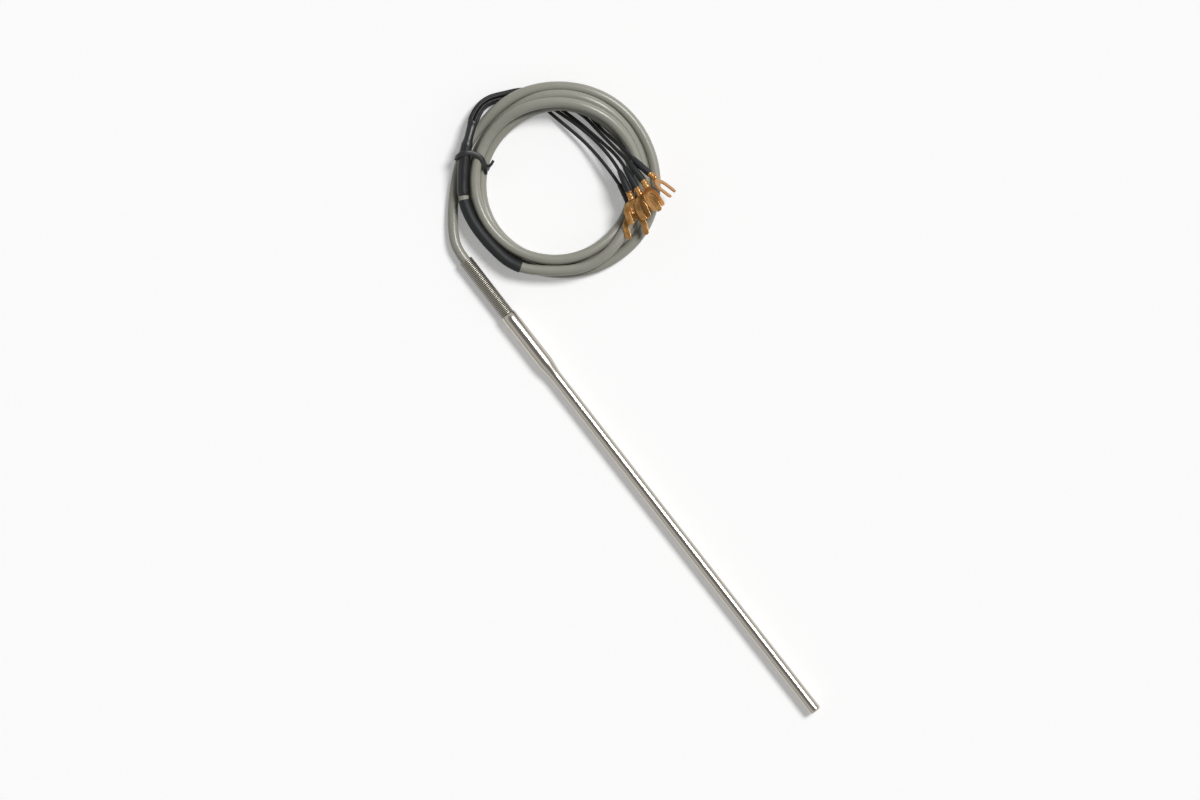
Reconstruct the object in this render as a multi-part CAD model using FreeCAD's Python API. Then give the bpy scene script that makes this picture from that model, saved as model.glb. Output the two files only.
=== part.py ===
import FreeCAD, Part
import math
import os

# A thermistor probe as it lies on a table: a swaged steel sheath along +X with its tip at the +X end, a
# close-wound spring at its rear, and the coiled cable, whose five leads end in spade lugs.
# Millimetres, +Z up, the table at z = 0, the origin under the middle of the sheath and spring together.

Vector = FreeCAD.Vector
ALONG = Vector(1, 0, 0)
UP = Vector(0, 0, 1)

# Cable, and the spring that is wound round it
CABLE_OD = 5.0
CABLE_PLAY = 0.2
CABLE_PAST_SPRING = 2.0
SPRING_WIRE = 0.8
SPRING_TURNS = 42
SPRING_SEAT = 8.0
SPRING_FIT = 0.1
SPRING_SIDES = 14

# Sheath: its rear takes the spring, its stem is swaged thinner
SHEATH_LENGTH = 242.0
REAR_LENGTH = 29.0
TAPER_LENGTH = 9.0
STEM_OD = 6.0
SHEATH_WALL = 0.4
TIP_WALL = 1.2
TIP_ROUND = 1.1

# Sleeves and leads
LABEL_WALL = 0.3
BREAKOUT_WALL = 0.4
LEAD_OD = 1.7
LUG_SLEEVE_WALL = 0.7
CABLE_SIDES = 8
LEAD_SIDES = 6
ROUND_SIDES = 10
BEND_SHARE = 0.45
BEND_STEP = 16.0

# Coil: a ring whose outer edge is off centre, because the turns fan out on the side away from the probe
COIL_INNER_R = 35.3
COIL_OUTER_R = 45.4
COIL_SHIFT = Vector(0.2, 4.8, 0)
COIL_HEIGHT = 8.0
COIL_EDGE = 1.6
COIL_PLACE = Vector(-3.4, 57.8, 0)
LEAD_TUNNEL_HEIGHT = 4.0

# Routes and the coil's place are counted from a spot on the table, this far behind the sheath's rear end
ROUTES_BEHIND_SHEATH = 32.0
LEAD_IN_STRAIGHT = 6.6

# Tie round the bundle
TIE_WIDTH = 1.6
TIE_THICKNESS = 0.6
TIE_FIT = 0.2
TIE_ANGLE = 215.2

# Spade lug, stamped from sheet: the barrel is rolled round the lead
LUG_SHEET = 0.7
LUG_LENGTH = 15.5
LUG_SLOT = 6.1
LUG_TINE = 2.85
LUG_SLOT_START = 7.0
LUG_BARREL_LENGTH = 4.4
LUG_NECK_WIDTH = 3.8
LUG_TIP_CUT = 1.1
LUG_ARC_STEPS = 4
LUG_SEAM_WIDTH = 0.7
LUG_SEAM_DEPTH = 0.45
LEAD_IN_BARREL = 3.0
LUG_RUN = 4.0

# Inside the sheath
BEAD_OD = 1.5
BEAD_FROM_TIP_WALL = 2.0
BEAD_LEAD_OD = 0.3
BEAD_LEAD_LENGTH = 12.0
SPLICE_GAP = 0.1
SPLICE_LENGTH = 3.0
CORE_OD = 0.9
CORE_GAP = 0.4
FILLER_LENGTH = 9.0
LINER_PLAY = 0.2
LINER_FIT = 0.1
LINER_SETBACK = 2.0
SEAL_LENGTH = 12.0

# Places and bores that follow from the sizes above, worked outwards from what each bore holds
SPRING_BORE = CABLE_OD + 2 * CABLE_PLAY
SPRING_OD = SPRING_BORE + 2 * SPRING_WIRE
REAR_BORE = SPRING_OD + 2 * SPRING_FIT
REAR_OD = REAR_BORE + 2 * SHEATH_WALL
STEM_BORE = STEM_OD - 2 * SHEATH_WALL
SPRING_OUT = SPRING_WIRE * SPRING_TURNS
JOINT_X = (SPRING_OUT - SHEATH_LENGTH) / 2
EXIT_X = JOINT_X - SPRING_OUT
TIP_X = JOINT_X + SHEATH_LENGTH
AXIS_Z = REAR_OD / 2
STEM_X = JOINT_X + REAR_LENGTH + TAPER_LENGTH
STUB_END_X = JOINT_X + SPRING_SEAT + CABLE_PAST_SPRING
BEAD_X = TIP_X - TIP_WALL - BEAD_FROM_TIP_WALL
SPLICE_END_X = BEAD_X - BEAD_LEAD_LENGTH
CORE_END_X = SPLICE_END_X - SPLICE_LENGTH
CORE_SPACING = CORE_OD + CORE_GAP
BARREL_R = LEAD_OD / 2 + LUG_SHEET
LUG_WIDTH = LUG_SLOT + 2 * LUG_TINE
ROUTE_X = JOINT_X - ROUTES_BEHIND_SHEATH
EXIT_ON_ROUTE = EXIT_X - ROUTE_X
COIL_CENTRE = COIL_PLACE + Vector(ROUTE_X, 0, 0)

# Routes, as distances from that spot on the table; the cable starts where it leaves the spring
LEAD_IN_ROUTE = [
    (EXIT_ON_ROUTE, 0, AXIS_Z), (EXIT_ON_ROUTE - LEAD_IN_STRAIGHT, 0, AXIS_Z), (-15.6, 3.0, 3.2),
    (-24.4, 8.6, 2.6), (-32.5, 16, 2.7), (-39.6, 25.4, 3.1), (-43.8, 35.5, 3.2), (-42.8, 47, 3.2),
]
BARE_TAIL = [(31.5, 40, 5.0), (29.6, 30.3, 5.2), (22.2, 21.2, 5.4)]
TAIL_IN_LABEL = [
    (13.1, 16, 5.0), (2.7, 14.2, 3.8), (-7.5, 13.6, 3.4), (-17.3, 14.6, 4.8), (-26, 17.6, 6.8),
]
TAIL_IN_BREAKOUT = [(-34.5, 24.4, 8.7), (-41.3, 30.5, 8.9), (-46.6, 37.3, 8.2), (-51.8, 44, 5.5)]
TAIL_ROUTE = BARE_TAIL + TAIL_IN_LABEL + TAIL_IN_BREAKOUT
BUNDLE_ROUTE = [
    (-51.8, 44, 5.5), (-54.92, 48.02, 3.88), (-55.3, 55, 2.3), (-51, 64.2, 1.65), (-43.5, 71.5, 1.65),
]
LEAD_ROUTES = [
    [(-31.5, 75.6, 2.1), (-18.5, 78.2, 4.4), (-4.5, 80.3, 7.2), (10.5, 80.5, 9.9)],
    [(-33, 77.6, 2.6), (-20.8, 81.4, 4.4), (-8.3, 83, 7.9), (4.7, 83.2, 12.2)],
    [(-34, 79.5, 1.8), (-21.8, 83.8, 3.9), (-9.3, 85.4, 7.7), (4.2, 86.6, 12.8)],
    [(-35, 81.7, 2.6), (-22.5, 86.7, 2.8), (-9.8, 88, 5.9), (3.7, 89.6, 13.0)],
    [(-36.3, 84, 1.2), (-23.5, 90, 1.9), (-10.8, 90.6, 4.2), (2.2, 92.2, 11.8)],
]
LEAD_SIDE_STEP = 0.9
LEAD_LIFT = 0.78
LEAD_PLACES = [(2, -1), (1, 1), (0, -1), (-1, 1), (-2, -1)]
TUNNEL_OUTLINE = [
    (-48.3, 54), (-55.3, 67), (-49.8, 77.5), (-28.8, 94.5), (-11.3, 97.5), (-8.3, 90.5),
    (-25.8, 77), (-34.3, 70), (-43.8, 63.5),
]

# Each lug: where the lead enters its barrel, then its heading, nose-down pitch and roll in degrees
LUG_PLACES = [
    ((26.8, 78.6, 11.05), -23.9, 0, 0),
    ((21.0, 82.2, 14.45), -16.7, 0, 0),
    ((21.8, 86.2, 15.65), -7.8, 0, 0),
    ((21.0, 90.8, 16.8), -4.3, 0, -52),
    ((20.1, 95.2, 15.8), 15.0, 0, -65),
]


def on_table(points):
    """Route points in the part's own frame."""
    return [Vector(x + ROUTE_X, y, z) for x, y, z in points]


def turned(outline):
    """A solid turned about the sheath's axis, from corners given as x and radius."""
    corners = [Vector(x, 0, AXIS_Z + r) for x, r in outline]
    face = Part.Face(Part.makePolygon(corners + corners[:1]))
    return face.revolve(Vector(0, 0, AXIS_Z), ALONG, 360)


def rod(diameter, start_x, end_x, y=0.0, z=0.0):
    """A straight round rod along X, placed from the sheath's axis."""
    return Part.makeCylinder(diameter / 2, end_x - start_x, Vector(start_x, y, AXIS_Z + z), ALONG)


def sheath():
    rear, stem = REAR_OD / 2, STEM_OD / 2
    taper_x = JOINT_X + REAR_LENGTH
    floor_x = TIP_X - TIP_WALL
    bevel = math.sin(math.pi / 4)
    return turned([
        (JOINT_X, rear), (taper_x, rear), (STEM_X, stem),
        (TIP_X - TIP_ROUND, stem), (TIP_X - TIP_ROUND * (1 - bevel), stem - TIP_ROUND * (1 - bevel)),
        (TIP_X, stem - TIP_ROUND), (TIP_X, 0), (floor_x, 0), (floor_x, STEM_BORE / 2),
        (STEM_X, STEM_BORE / 2), (taper_x, REAR_BORE / 2), (JOINT_X, REAR_BORE / 2),
    ])


def ring_of_points(x, radius, sides, y=0.0, z=0.0):
    steps = [2 * math.pi * (i + 0.5) / sides for i in range(sides)]
    return [Vector(x, y + radius * math.cos(a), AXIS_Z + z + radius * math.sin(a)) for a in steps]


def flat_rod(diameter, start_x, end_x, y=0.0, z=0.0):
    """A straight flat-sided rod along X, for what is hidden in the sheath."""
    ring = ring_of_points(start_x, diameter / 2, ROUND_SIDES, y, z)
    return Part.Face(Part.makePolygon(ring + ring[:1])).extrude(ALONG * (end_x - start_x))


def flat_sided(rings):
    """A closed solid through a row of rings of points, with a flat side between each pair of neighbours."""
    faces = [Part.Face(Part.makePolygon(ring + ring[:1])) for ring in (rings[0], rings[-1])]
    for near, far in zip(rings, rings[1:]):
        for i in range(len(near)):
            j = (i + 1) % len(near)
            faces.append(Part.Face(Part.makePolygon([near[i], near[j], far[j], far[i], near[i]])))
    shell = Part.makeShell(faces)
    shell.sewShape()
    solid = Part.makeSolid(shell)
    if solid.Volume < 0:
        solid.reverse()
    return solid


def spring():
    """Close-wound turns as ridges, with a crest on each wire and a root where two wires meet."""
    crest = SPRING_OD / 2
    root = crest - SPRING_WIRE / 2
    rings = []
    for turn in range(SPRING_TURNS):
        start = EXIT_X + turn * SPRING_WIRE
        rings.append(ring_of_points(start, root, SPRING_SIDES))
        rings.append(ring_of_points(start + SPRING_WIRE / 2, crest, SPRING_SIDES))
    rings.append(ring_of_points(JOINT_X, root, SPRING_SIDES))
    rings.append(ring_of_points(JOINT_X + SPRING_WIRE / 2, crest, SPRING_SIDES))
    rings.append(ring_of_points(JOINT_X + SPRING_SEAT, crest, SPRING_SIDES))
    return flat_sided(rings).cut(rod(SPRING_BORE, EXIT_X, JOINT_X + SPRING_SEAT))


class Stretch:
    """One straight run or one bend of a cord, with the frame of its first section."""

    def __init__(self, at, heading, up, length=0.0, centre=None, axis=None, turn=0.0):
        self.at, self.heading, self.up = at, heading, up
        self.length, self.centre, self.axis, self.turn = length, centre, axis, turn

    def ring(self, radius, sides, share):
        """Corners of the flat-sided section, a share of the way along."""
        across = self.heading.cross(self.up)
        steps = [2 * math.pi * (i + 0.5) / sides for i in range(sides)]
        spokes = [across * math.cos(a) + self.up * math.sin(a) for a in steps]
        corners = [self.at + spoke * radius for spoke in spokes]
        if self.centre is None:
            return [corner + self.heading * (self.length * share) for corner in corners]
        spin = FreeCAD.Rotation(self.axis, math.degrees(self.turn * share))
        return [self.centre + spin.multVec(corner - self.centre) for corner in corners]

    def steps(self):
        """A run is one step, and a bend as many as keep each below the largest step."""
        return 1 + int(math.degrees(self.turn) // BEND_STEP)

    def volume(self, area):
        reach = self.length if self.centre is None else self.turn * self.centre.distanceToPoint(self.at)
        return area * reach


def unit(vector):
    return vector / vector.Length


def route(points, name):
    """Straight runs joined by tangent arcs, each arc as large as its two runs allow."""
    stretches, radii = [], []
    at, heading = points[0], unit(points[1] - points[0])
    up = unit(UP - heading * UP.dot(heading))
    for corner, before, after in zip(points[1:], points, points[2:]):
        back, ahead = corner - before, after - corner
        turn = back.getAngle(ahead)
        reach = BEND_SHARE * min(back.Length, ahead.Length)
        start = corner - unit(back) * reach
        axis = unit(back.cross(ahead))
        radius = reach / math.tan(turn / 2)
        stretches.append(Stretch(at, heading, up, length=start.distanceToPoint(at)))
        centre = start + axis.cross(heading) * radius
        stretches.append(Stretch(start, heading, up, centre=centre, axis=axis, turn=turn))
        spin = FreeCAD.Rotation(axis, math.degrees(turn))
        heading, up = unit(ahead), spin.multVec(up)
        at = corner + heading * reach
        radii.append(radius)
    stretches.append(Stretch(at, heading, up, length=points[-1].distanceToPoint(at)))
    print(name, "bend radii", [round(r, 1) for r in radii])
    return stretches


def tube(stretches, sides, diameter, hole=0.0):
    """One solid along some stretches of a cord, hollow where it is a sleeve."""
    rings = []
    for stretch in stretches:
        count = stretch.steps()
        rings.extend(stretch.ring(diameter / 2, sides, i / count) for i in range(count))
    rings.append(stretches[-1].ring(diameter / 2, sides, 1))
    solid = flat_sided(rings)
    return solid.cut(tube(stretches, sides, hole)) if hole else solid


def report_volume(name, solid, stretches, sides, diameter):
    area = sides / 2 * math.sin(2 * math.pi / sides) * (diameter / 2) ** 2
    expected = sum(s.volume(area) for s in stretches)
    print(name, "volume", round(solid.Volume, 1), "section times length", round(expected, 1),
          "length", round(expected / area, 1))


def beside(points, side, lift):
    """A route that runs beside another one, to its right by side and above it by lift."""
    moved = []
    for i, point in enumerate(points):
        ahead = unit(points[min(i + 1, len(points) - 1)] - points[max(i - 1, 0)])
        if i < 2:
            ahead = unit(points[1] - points[0])
        right = unit(ahead.cross(UP))
        moved.append(point + right * side + right.cross(ahead) * lift)
    return moved


def coil():
    """The outer form of the coil, with a tunnel for the leads and a groove for the tie in its underside."""
    ring = Part.makeCylinder(COIL_OUTER_R, COIL_HEIGHT, COIL_CENTRE + COIL_SHIFT)
    rims = [e for e in ring.Edges if e.Closed and e.BoundBox.ZMin > COIL_HEIGHT / 2]
    ring = ring.makeChamfer(COIL_EDGE, rims)
    ring = ring.cut(Part.makeCylinder(COIL_INNER_R, COIL_HEIGHT, COIL_CENTRE))
    corners = on_table([(x, y, 0) for x, y in TUNNEL_OUTLINE])
    tunnel = Part.Face(Part.makePolygon(corners + corners[:1])).extrude(UP * LEAD_TUNNEL_HEIGHT)
    groove_depth = TIE_THICKNESS + TIE_FIT
    groove_width = TIE_WIDTH + 2 * TIE_FIT
    groove = Part.makeBox(COIL_OUTER_R, groove_width, groove_depth, Vector(0, -groove_width / 2, 0))
    groove.rotate(Vector(), UP, TIE_ANGLE)
    groove.translate(COIL_CENTRE)
    return ring.cut(tunnel).cut(groove)


def at_tie(points):
    """Where a route crosses the tie's plane: its distance from the coil's middle, and its height."""
    turn_back = FreeCAD.Rotation(UP, -TIE_ANGLE)
    seen = [turn_back.multVec(point - COIL_CENTRE) for point in points]
    for near, far in zip(seen, seen[1:]):
        if near.x > 0 and near.y * far.y <= 0:
            crossing = near + (far - near) * (near.y / (near.y - far.y))
            return crossing.x, crossing.z
    raise ValueError("the route does not cross the tie")


def tie():
    """A band round the bundle, in the upright plane that crosses the coil at the tie."""
    sleeve_r = CABLE_OD / 2 + BREAKOUT_WALL + TIE_FIT
    inner, low = COIL_INNER_R - TIE_FIT, TIE_THICKNESS
    sleeve_x, sleeve_z = at_tie(on_table(TAIL_ROUTE))
    outer = sleeve_x + sleeve_r
    facet = sleeve_r * math.tan(math.radians(22.5))
    loop = [
        (inner, low), (outer, low), (outer, sleeve_z + facet), (sleeve_x + facet, sleeve_z + sleeve_r),
        (sleeve_x - facet, sleeve_z + sleeve_r), (inner, COIL_HEIGHT + TIE_FIT),
    ]
    corners = [Vector(x, -TIE_WIDTH / 2, z) for x, z in loop]
    inside = Part.makePolygon(corners + corners[:1])
    outside = inside.makeOffset2D(TIE_THICKNESS, 2)
    band = Part.Face(outside).cut(Part.Face(inside)).Faces[0].extrude(Vector(0, TIE_WIDTH, 0))
    band.rotate(Vector(), UP, TIE_ANGLE)
    band.translate(COIL_CENTRE)
    return band


def arc(centre_x, radius, start, end, steps):
    """Points on an arc about a place on the X axis, angles in radians."""
    angles = [start + (end - start) * i / steps for i in range(steps + 1)]
    return [(centre_x + radius * math.cos(a), radius * math.sin(a)) for a in angles]


def prism(outline, rise, place):
    """A flat-sided solid: a closed outline in place, pushed along rise."""
    corners = [place(a, b) for a, b in outline]
    return Part.Face(Part.makePolygon(corners + corners[:1])).extrude(rise)


def lug():
    """A spade lug with its lead entering the barrel at the origin, along +X."""
    half, neck, slot_r = LUG_WIDTH / 2, LUG_NECK_WIDTH / 2, LUG_SLOT / 2
    centre = LUG_SLOT_START + slot_r
    shoulder = arc(centre, half, math.pi - math.asin(neck / half), math.pi / 2, LUG_ARC_STEPS)
    tip = [(LUG_LENGTH - LUG_TIP_CUT, half), (LUG_LENGTH, half - LUG_TIP_CUT), (LUG_LENGTH, slot_r)]
    slot_end = arc(centre, slot_r, math.pi / 2, math.pi, LUG_ARC_STEPS)
    side = [(LUG_BARREL_LENGTH / 2, neck)] + shoulder + tip + slot_end
    outline = side + [(x, -y) for x, y in reversed(side[:-1])]
    fork = prism(outline, UP * LUG_SHEET, lambda x, y: Vector(x, y, -BARREL_R))
    ring = arc(0, BARREL_R, math.pi / ROUND_SIDES, 2 * math.pi - math.pi / ROUND_SIDES, ROUND_SIDES - 1)
    bore_r = LEAD_OD / 2 / math.cos(math.pi / ROUND_SIDES)
    bore_ring = [(y * bore_r / BARREL_R, z * bore_r / BARREL_R) for y, z in ring]
    across = lambda y, z: Vector(0, y, z)
    reach = ALONG * LUG_BARREL_LENGTH
    seam_half = LUG_SEAM_WIDTH / 2
    seam = [(-seam_half, BARREL_R), (seam_half, BARREL_R), (0, BARREL_R - LUG_SEAM_DEPTH)]
    body = fork.fuse(prism(ring, reach, across))
    for cutter in (bore_ring, seam):
        body = body.cut(prism(cutter, reach, across))
    return body.removeSplitter()


def lug_placement(place):
    (x, y, z), heading, pitch, roll = place
    return FreeCAD.Placement(Vector(x + ROUTE_X, y, z), FreeCAD.Rotation(heading, pitch, roll))


def inner_pieces():
    """What the sheath holds: the bead and its leads, the splices, the core wires and what insulates them."""
    spread = CORE_SPACING / 2
    bead_r = BEAD_OD / 2
    bead_form = [(-bead_r, bead_r / 2), (-bead_r / 2, bead_r), (bead_r / 2, bead_r), (bead_r, bead_r / 2)]
    bead = flat_sided([ring_of_points(BEAD_X + x, r, ROUND_SIDES) for x, r in bead_form])
    leads = [flat_rod(BEAD_LEAD_OD, SPLICE_END_X, BEAD_X, y).cut(bead) for y in (-bead_r / 2, bead_r / 2)]
    filler = rod(STEM_BORE, TIP_X - TIP_WALL - FILLER_LENGTH, TIP_X - TIP_WALL)
    filler = filler.cut(bead.multiFuse(leads))
    splices = [flat_rod(CORE_SPACING - SPLICE_GAP, CORE_END_X, SPLICE_END_X, y) for y in (-spread, spread)]
    places = [(y, z) for y in (-spread, spread) for z in (-spread, spread)]
    cores = [flat_rod(CORE_OD, STUB_END_X, CORE_END_X, y, z) for y, z in places]
    liner_od = STEM_BORE - 2 * LINER_FIT
    liner_bore = CORE_OD + CORE_SPACING * math.sqrt(2) + 2 * LINER_PLAY
    liner_ends = (STEM_X + LINER_SETBACK, CORE_END_X - LINER_SETBACK)
    liner = flat_rod(liner_od, *liner_ends).cut(flat_rod(liner_bore, *liner_ends))
    seal = rod(REAR_BORE, STUB_END_X, STUB_END_X + SEAL_LENGTH).cut(Part.makeCompound(cores))
    pieces = {
        "thermistor_bead": bead,
        "bead_leads": Part.makeCompound(leads),
        "lead_splices": Part.makeCompound(splices),
        "tip_filler": filler,
        "core_liner": liner,
        "rear_seal": seal,
    }
    for number, core in enumerate(cores, 1):
        pieces["core_wire_%d" % number] = core
    return pieces


def cable_pieces():
    """The cable with its sleeves: each is a tube along its own stretches of the route."""
    ring = coil()
    lead_in_route = route(on_table(LEAD_IN_ROUTE), "cable_lead_in")
    tail_route = route(on_table(TAIL_ROUTE), "cable_tail")
    bare_end = 2 * len(BARE_TAIL + TAIL_IN_LABEL) - 1
    label_start = 2 * len(BARE_TAIL) - 1
    label_od = CABLE_OD + 2 * LABEL_WALL
    whole_in = tube(lead_in_route, CABLE_SIDES, CABLE_OD)
    whole_tail = tube(tail_route[:bare_end], CABLE_SIDES, CABLE_OD)
    report_volume("cable_lead_in", whole_in, lead_in_route, CABLE_SIDES, CABLE_OD)
    report_volume("cable_tail", whole_tail, tail_route[:bare_end], CABLE_SIDES, CABLE_OD)
    return {
        "cable_stub": rod(CABLE_OD, EXIT_X, STUB_END_X),
        "cable_coil": ring,
        "cable_lead_in": whole_in.cut(ring),
        "cable_tail": whole_tail.cut(ring),
        "label_sleeve": tube(tail_route[label_start:bare_end - 1], CABLE_SIDES, label_od, CABLE_OD),
        "breakout_sleeve": tube(tail_route[bare_end:], CABLE_SIDES, CABLE_OD + 2 * BREAKOUT_WALL),
        "coil_tie": tie(),
    }


def lead_pieces():
    """Each lead with its lug sleeve and its spade lug."""
    pieces = {}
    bundle = on_table(BUNDLE_ROUTE)
    shape = lug()
    sleeve_od = LEAD_OD + 2 * LUG_SLEEVE_WALL
    for number, (own, spot, place) in enumerate(zip(LEAD_ROUTES, LEAD_PLACES, LUG_PLACES), 1):
        placement = lug_placement(place)
        last = [placement.multVec(ALONG * -LUG_RUN), placement.multVec(ALONG * LEAD_IN_BARREL)]
        points = beside(bundle, spot[0] * LEAD_SIDE_STEP, spot[1] * LEAD_LIFT) + on_table(own) + last
        stretches = route(points, "lead_wire_%d" % number)
        lead = tube(stretches, LEAD_SIDES, LEAD_OD)
        report_volume("lead_wire_%d" % number, lead, stretches, LEAD_SIDES, LEAD_OD)
        end = stretches[-1]
        covered = stretches[-3:-1] + [Stretch(end.at, end.heading, end.up, end.length - LEAD_IN_BARREL)]
        pieces["lead_wire_%d" % number] = lead
        pieces["lug_sleeve_%d" % number] = tube(covered, LEAD_SIDES, sleeve_od, LEAD_OD)
        placed = shape.copy()
        placed.Placement = placement
        pieces["spade_lug_%d" % number] = placed
    return pieces


def main():
    os.makedirs("parts", exist_ok=True)
    nodes = {"probe_sheath": sheath(), "strain_relief_spring": spring()}
    nodes.update(inner_pieces())
    nodes.update(cable_pieces())
    nodes.update(lead_pieces())
    for name, shape in nodes.items():
        shape.exportStep("parts/%s.step" % name)
        print(name, "solids", len(shape.Solids), "valid", shape.isValid(), "volume", round(shape.Volume, 2))


main()
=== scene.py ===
# %% [markdown]
# # A thermistor probe with a coiled cable
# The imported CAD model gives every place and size. This script dresses it: it turns a smooth sheath,
# winds a real spring, lays the cable and its leads as curves, and lights the whole on a pale table,
# seen from straight above.

# %% Load the frame
import bmesh
import bpy
import math
from mathutils import Euler, Matrix, Vector


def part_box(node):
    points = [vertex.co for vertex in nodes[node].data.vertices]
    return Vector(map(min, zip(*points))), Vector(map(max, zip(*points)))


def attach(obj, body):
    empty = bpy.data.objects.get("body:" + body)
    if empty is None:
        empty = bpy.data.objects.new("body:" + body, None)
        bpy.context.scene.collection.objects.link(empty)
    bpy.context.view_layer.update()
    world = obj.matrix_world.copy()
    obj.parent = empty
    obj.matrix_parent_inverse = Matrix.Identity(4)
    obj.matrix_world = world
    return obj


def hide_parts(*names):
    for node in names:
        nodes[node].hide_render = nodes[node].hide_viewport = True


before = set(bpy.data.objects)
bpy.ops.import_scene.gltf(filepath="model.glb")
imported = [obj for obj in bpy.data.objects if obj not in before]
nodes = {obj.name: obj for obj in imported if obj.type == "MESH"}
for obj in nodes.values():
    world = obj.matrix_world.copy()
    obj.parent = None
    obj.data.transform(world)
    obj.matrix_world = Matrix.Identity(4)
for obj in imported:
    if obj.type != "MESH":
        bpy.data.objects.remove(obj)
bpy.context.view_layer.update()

MM = 0.001
BODY = "root"
ROUTES_BEHIND_SHEATH = 32 * MM
spring_low, spring_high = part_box("strain_relief_spring")
sheath_low, sheath_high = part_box("probe_sheath")
EXIT_X = spring_low[0]
ROUTE_X = sheath_low[0] - ROUTES_BEHIND_SHEATH
AXIS_Z = (sheath_low[2] + sheath_high[2]) / 2
print("cable leaves the spring at x =", round(EXIT_X, 4), "on an axis at z =", round(AXIS_Z, 4))

# %% [markdown]
# ## Helpers
# Every piece needs the same last steps: a finish, the body that it rides on and the CAD nodes that it
# stands for. Doing them in one function keeps the pieces alike. A piece stays at the origin, with its
# place in its mesh, so that patterns on Object coordinates don't slide.


# %% Small helpers
def link(name, data):
    obj = bpy.data.objects.new(name, data)
    bpy.context.scene.collection.objects.link(obj)
    return obj


def finish_piece(obj, material, slot, *stands_for):
    """Gives a piece its material, lets it ride on the body and hides the nodes that it stands for."""
    if not obj.data.materials:
        obj.data.materials.append(material)
    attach(obj, BODY)
    if stands_for:
        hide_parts(*stands_for)
    return obj


def smooth_mesh(name, points, faces):
    mesh = bpy.data.meshes.new(name)
    mesh.from_pydata([tuple(p) for p in points], [], faces)
    mesh.polygons.foreach_set("use_smooth", [True] * len(mesh.polygons))
    mesh.update()
    return mesh


# %% [markdown]
# ## Finishes
# Each finish is a Principled shader. Real steel, copper and plastic are never quite even, which a
# flat colour would hide and a painted image would tie to one place. Noise in Object coordinates is
# chosen instead: it stays on the part from every side. A pair of roughness values, a second colour
# or a bump asks for it; a finish with none of them stays plain.

# %% Noise for an uneven finish
NOISE_DETAIL = 4.0
BUMP_DEPTH = 0.2 * MM


def noise_in_object_space(tree, stretch, scale):
    coords = tree.nodes.new("ShaderNodeTexCoord")
    mapping = tree.nodes.new("ShaderNodeMapping")
    mapping.inputs["Scale"].default_value = stretch
    noise = tree.nodes.new("ShaderNodeTexNoise")
    noise.inputs["Scale"].default_value = scale
    noise.inputs["Detail"].default_value = NOISE_DETAIL
    tree.links.new(coords.outputs["Object"], mapping.inputs["Vector"])
    tree.links.new(mapping.outputs["Vector"], noise.inputs["Vector"])
    return noise.outputs["Fac"]


def vary_roughness(tree, noise, low, high):
    rough = tree.nodes.new("ShaderNodeMapRange")
    rough.inputs["To Min"].default_value = low
    rough.inputs["To Max"].default_value = high
    tree.links.new(noise, rough.inputs["Value"])
    tree.links.new(rough.outputs["Result"], tree.nodes["Principled BSDF"].inputs["Roughness"])


def vary_color(tree, share, low, high):
    """Blends two colours by a share from 0 to 1."""
    mix = tree.nodes.new("ShaderNodeMix")
    mix.data_type = "RGBA"
    mix.inputs["A"].default_value = (*low, 1)
    mix.inputs["B"].default_value = (*high, 1)
    tree.links.new(share, mix.inputs["Factor"])
    tree.links.new(mix.outputs["Result"], tree.nodes["Principled BSDF"].inputs["Base Color"])


def add_bump(tree, noise, strength):
    height = tree.nodes.new("ShaderNodeBump")
    height.inputs["Strength"].default_value = strength
    height.inputs["Distance"].default_value = BUMP_DEPTH
    tree.links.new(noise, height.inputs["Height"])
    tree.links.new(height.outputs["Normal"], tree.nodes["Principled BSDF"].inputs["Normal"])


# %% One finish
def finish(name, color, roughness, metallic=0.0, rough_range=None, color_low=None, bump=0.0,
           scale=600.0, stretch=(1, 1, 1), **sockets):
    """A Principled shader; scale and stretch shape the noise, sockets sets other inputs by name."""
    material = bpy.data.materials.new(name)
    material.use_nodes = True
    tree = material.node_tree
    shader = tree.nodes["Principled BSDF"]
    shader.inputs["Base Color"].default_value = (*color, 1)
    shader.inputs["Metallic"].default_value = metallic
    shader.inputs["Roughness"].default_value = roughness
    for key, value in sockets.items():
        shader.inputs[key.replace("_", " ")].default_value = value
    if rough_range or color_low or bump:
        noise = noise_in_object_space(tree, stretch, scale)
        if rough_range:
            vary_roughness(tree, noise, *rough_range)
        if color_low:
            vary_color(tree, noise, color_low, color)
        if bump:
            add_bump(tree, noise, bump)
    return material


# %% [markdown]
# ## Sheath
# The sheath is one steel tube, swaged down: a thick rear, a short taper and a thin stem with a
# closed tip. It could be cylinders set end to end, but their edges would show. A profile turned
# about the axis is chosen instead: a few extra points round the taper, the mouth and the tip, so that
# light rolls over them as it does on a drawn tube. The noise of its steel is stretched along the tube.

# %% Sizes of the sheath
REAR_R = (sheath_high[2] - sheath_low[2]) / 2
WALL = 0.4 * MM
STEM_R = 3.0 * MM
REAR_LENGTH = 29.0 * MM
TAPER_LENGTH = 9.0 * MM
TAPER_STEPS = 24
TAPER_EASE = 0.55
TIP_ROUND = 1.1 * MM
TIP_STEPS = 8
TIP_CAP_R = 0.01 * MM
MOUTH_EDGE = 0.12 * MM
BORE_DEPTH = 10.0 * MM
REAR_SHARES = (0.1, 0.5, 0.95)
STEM_SHARES = (0.01, 0.25, 0.5, 0.75, 0.99)
joint_x = sheath_low[0]
taper_x = joint_x + REAR_LENGTH
stem_x = taper_x + TAPER_LENGTH
tip_x = sheath_high[0]
steel = finish("drawn_steel", (0.56, 0.525, 0.465), 0.2, metallic=1.0, rough_range=(0.16, 0.22),
               scale=700.0, stretch=(0.02, 1, 1))
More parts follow.
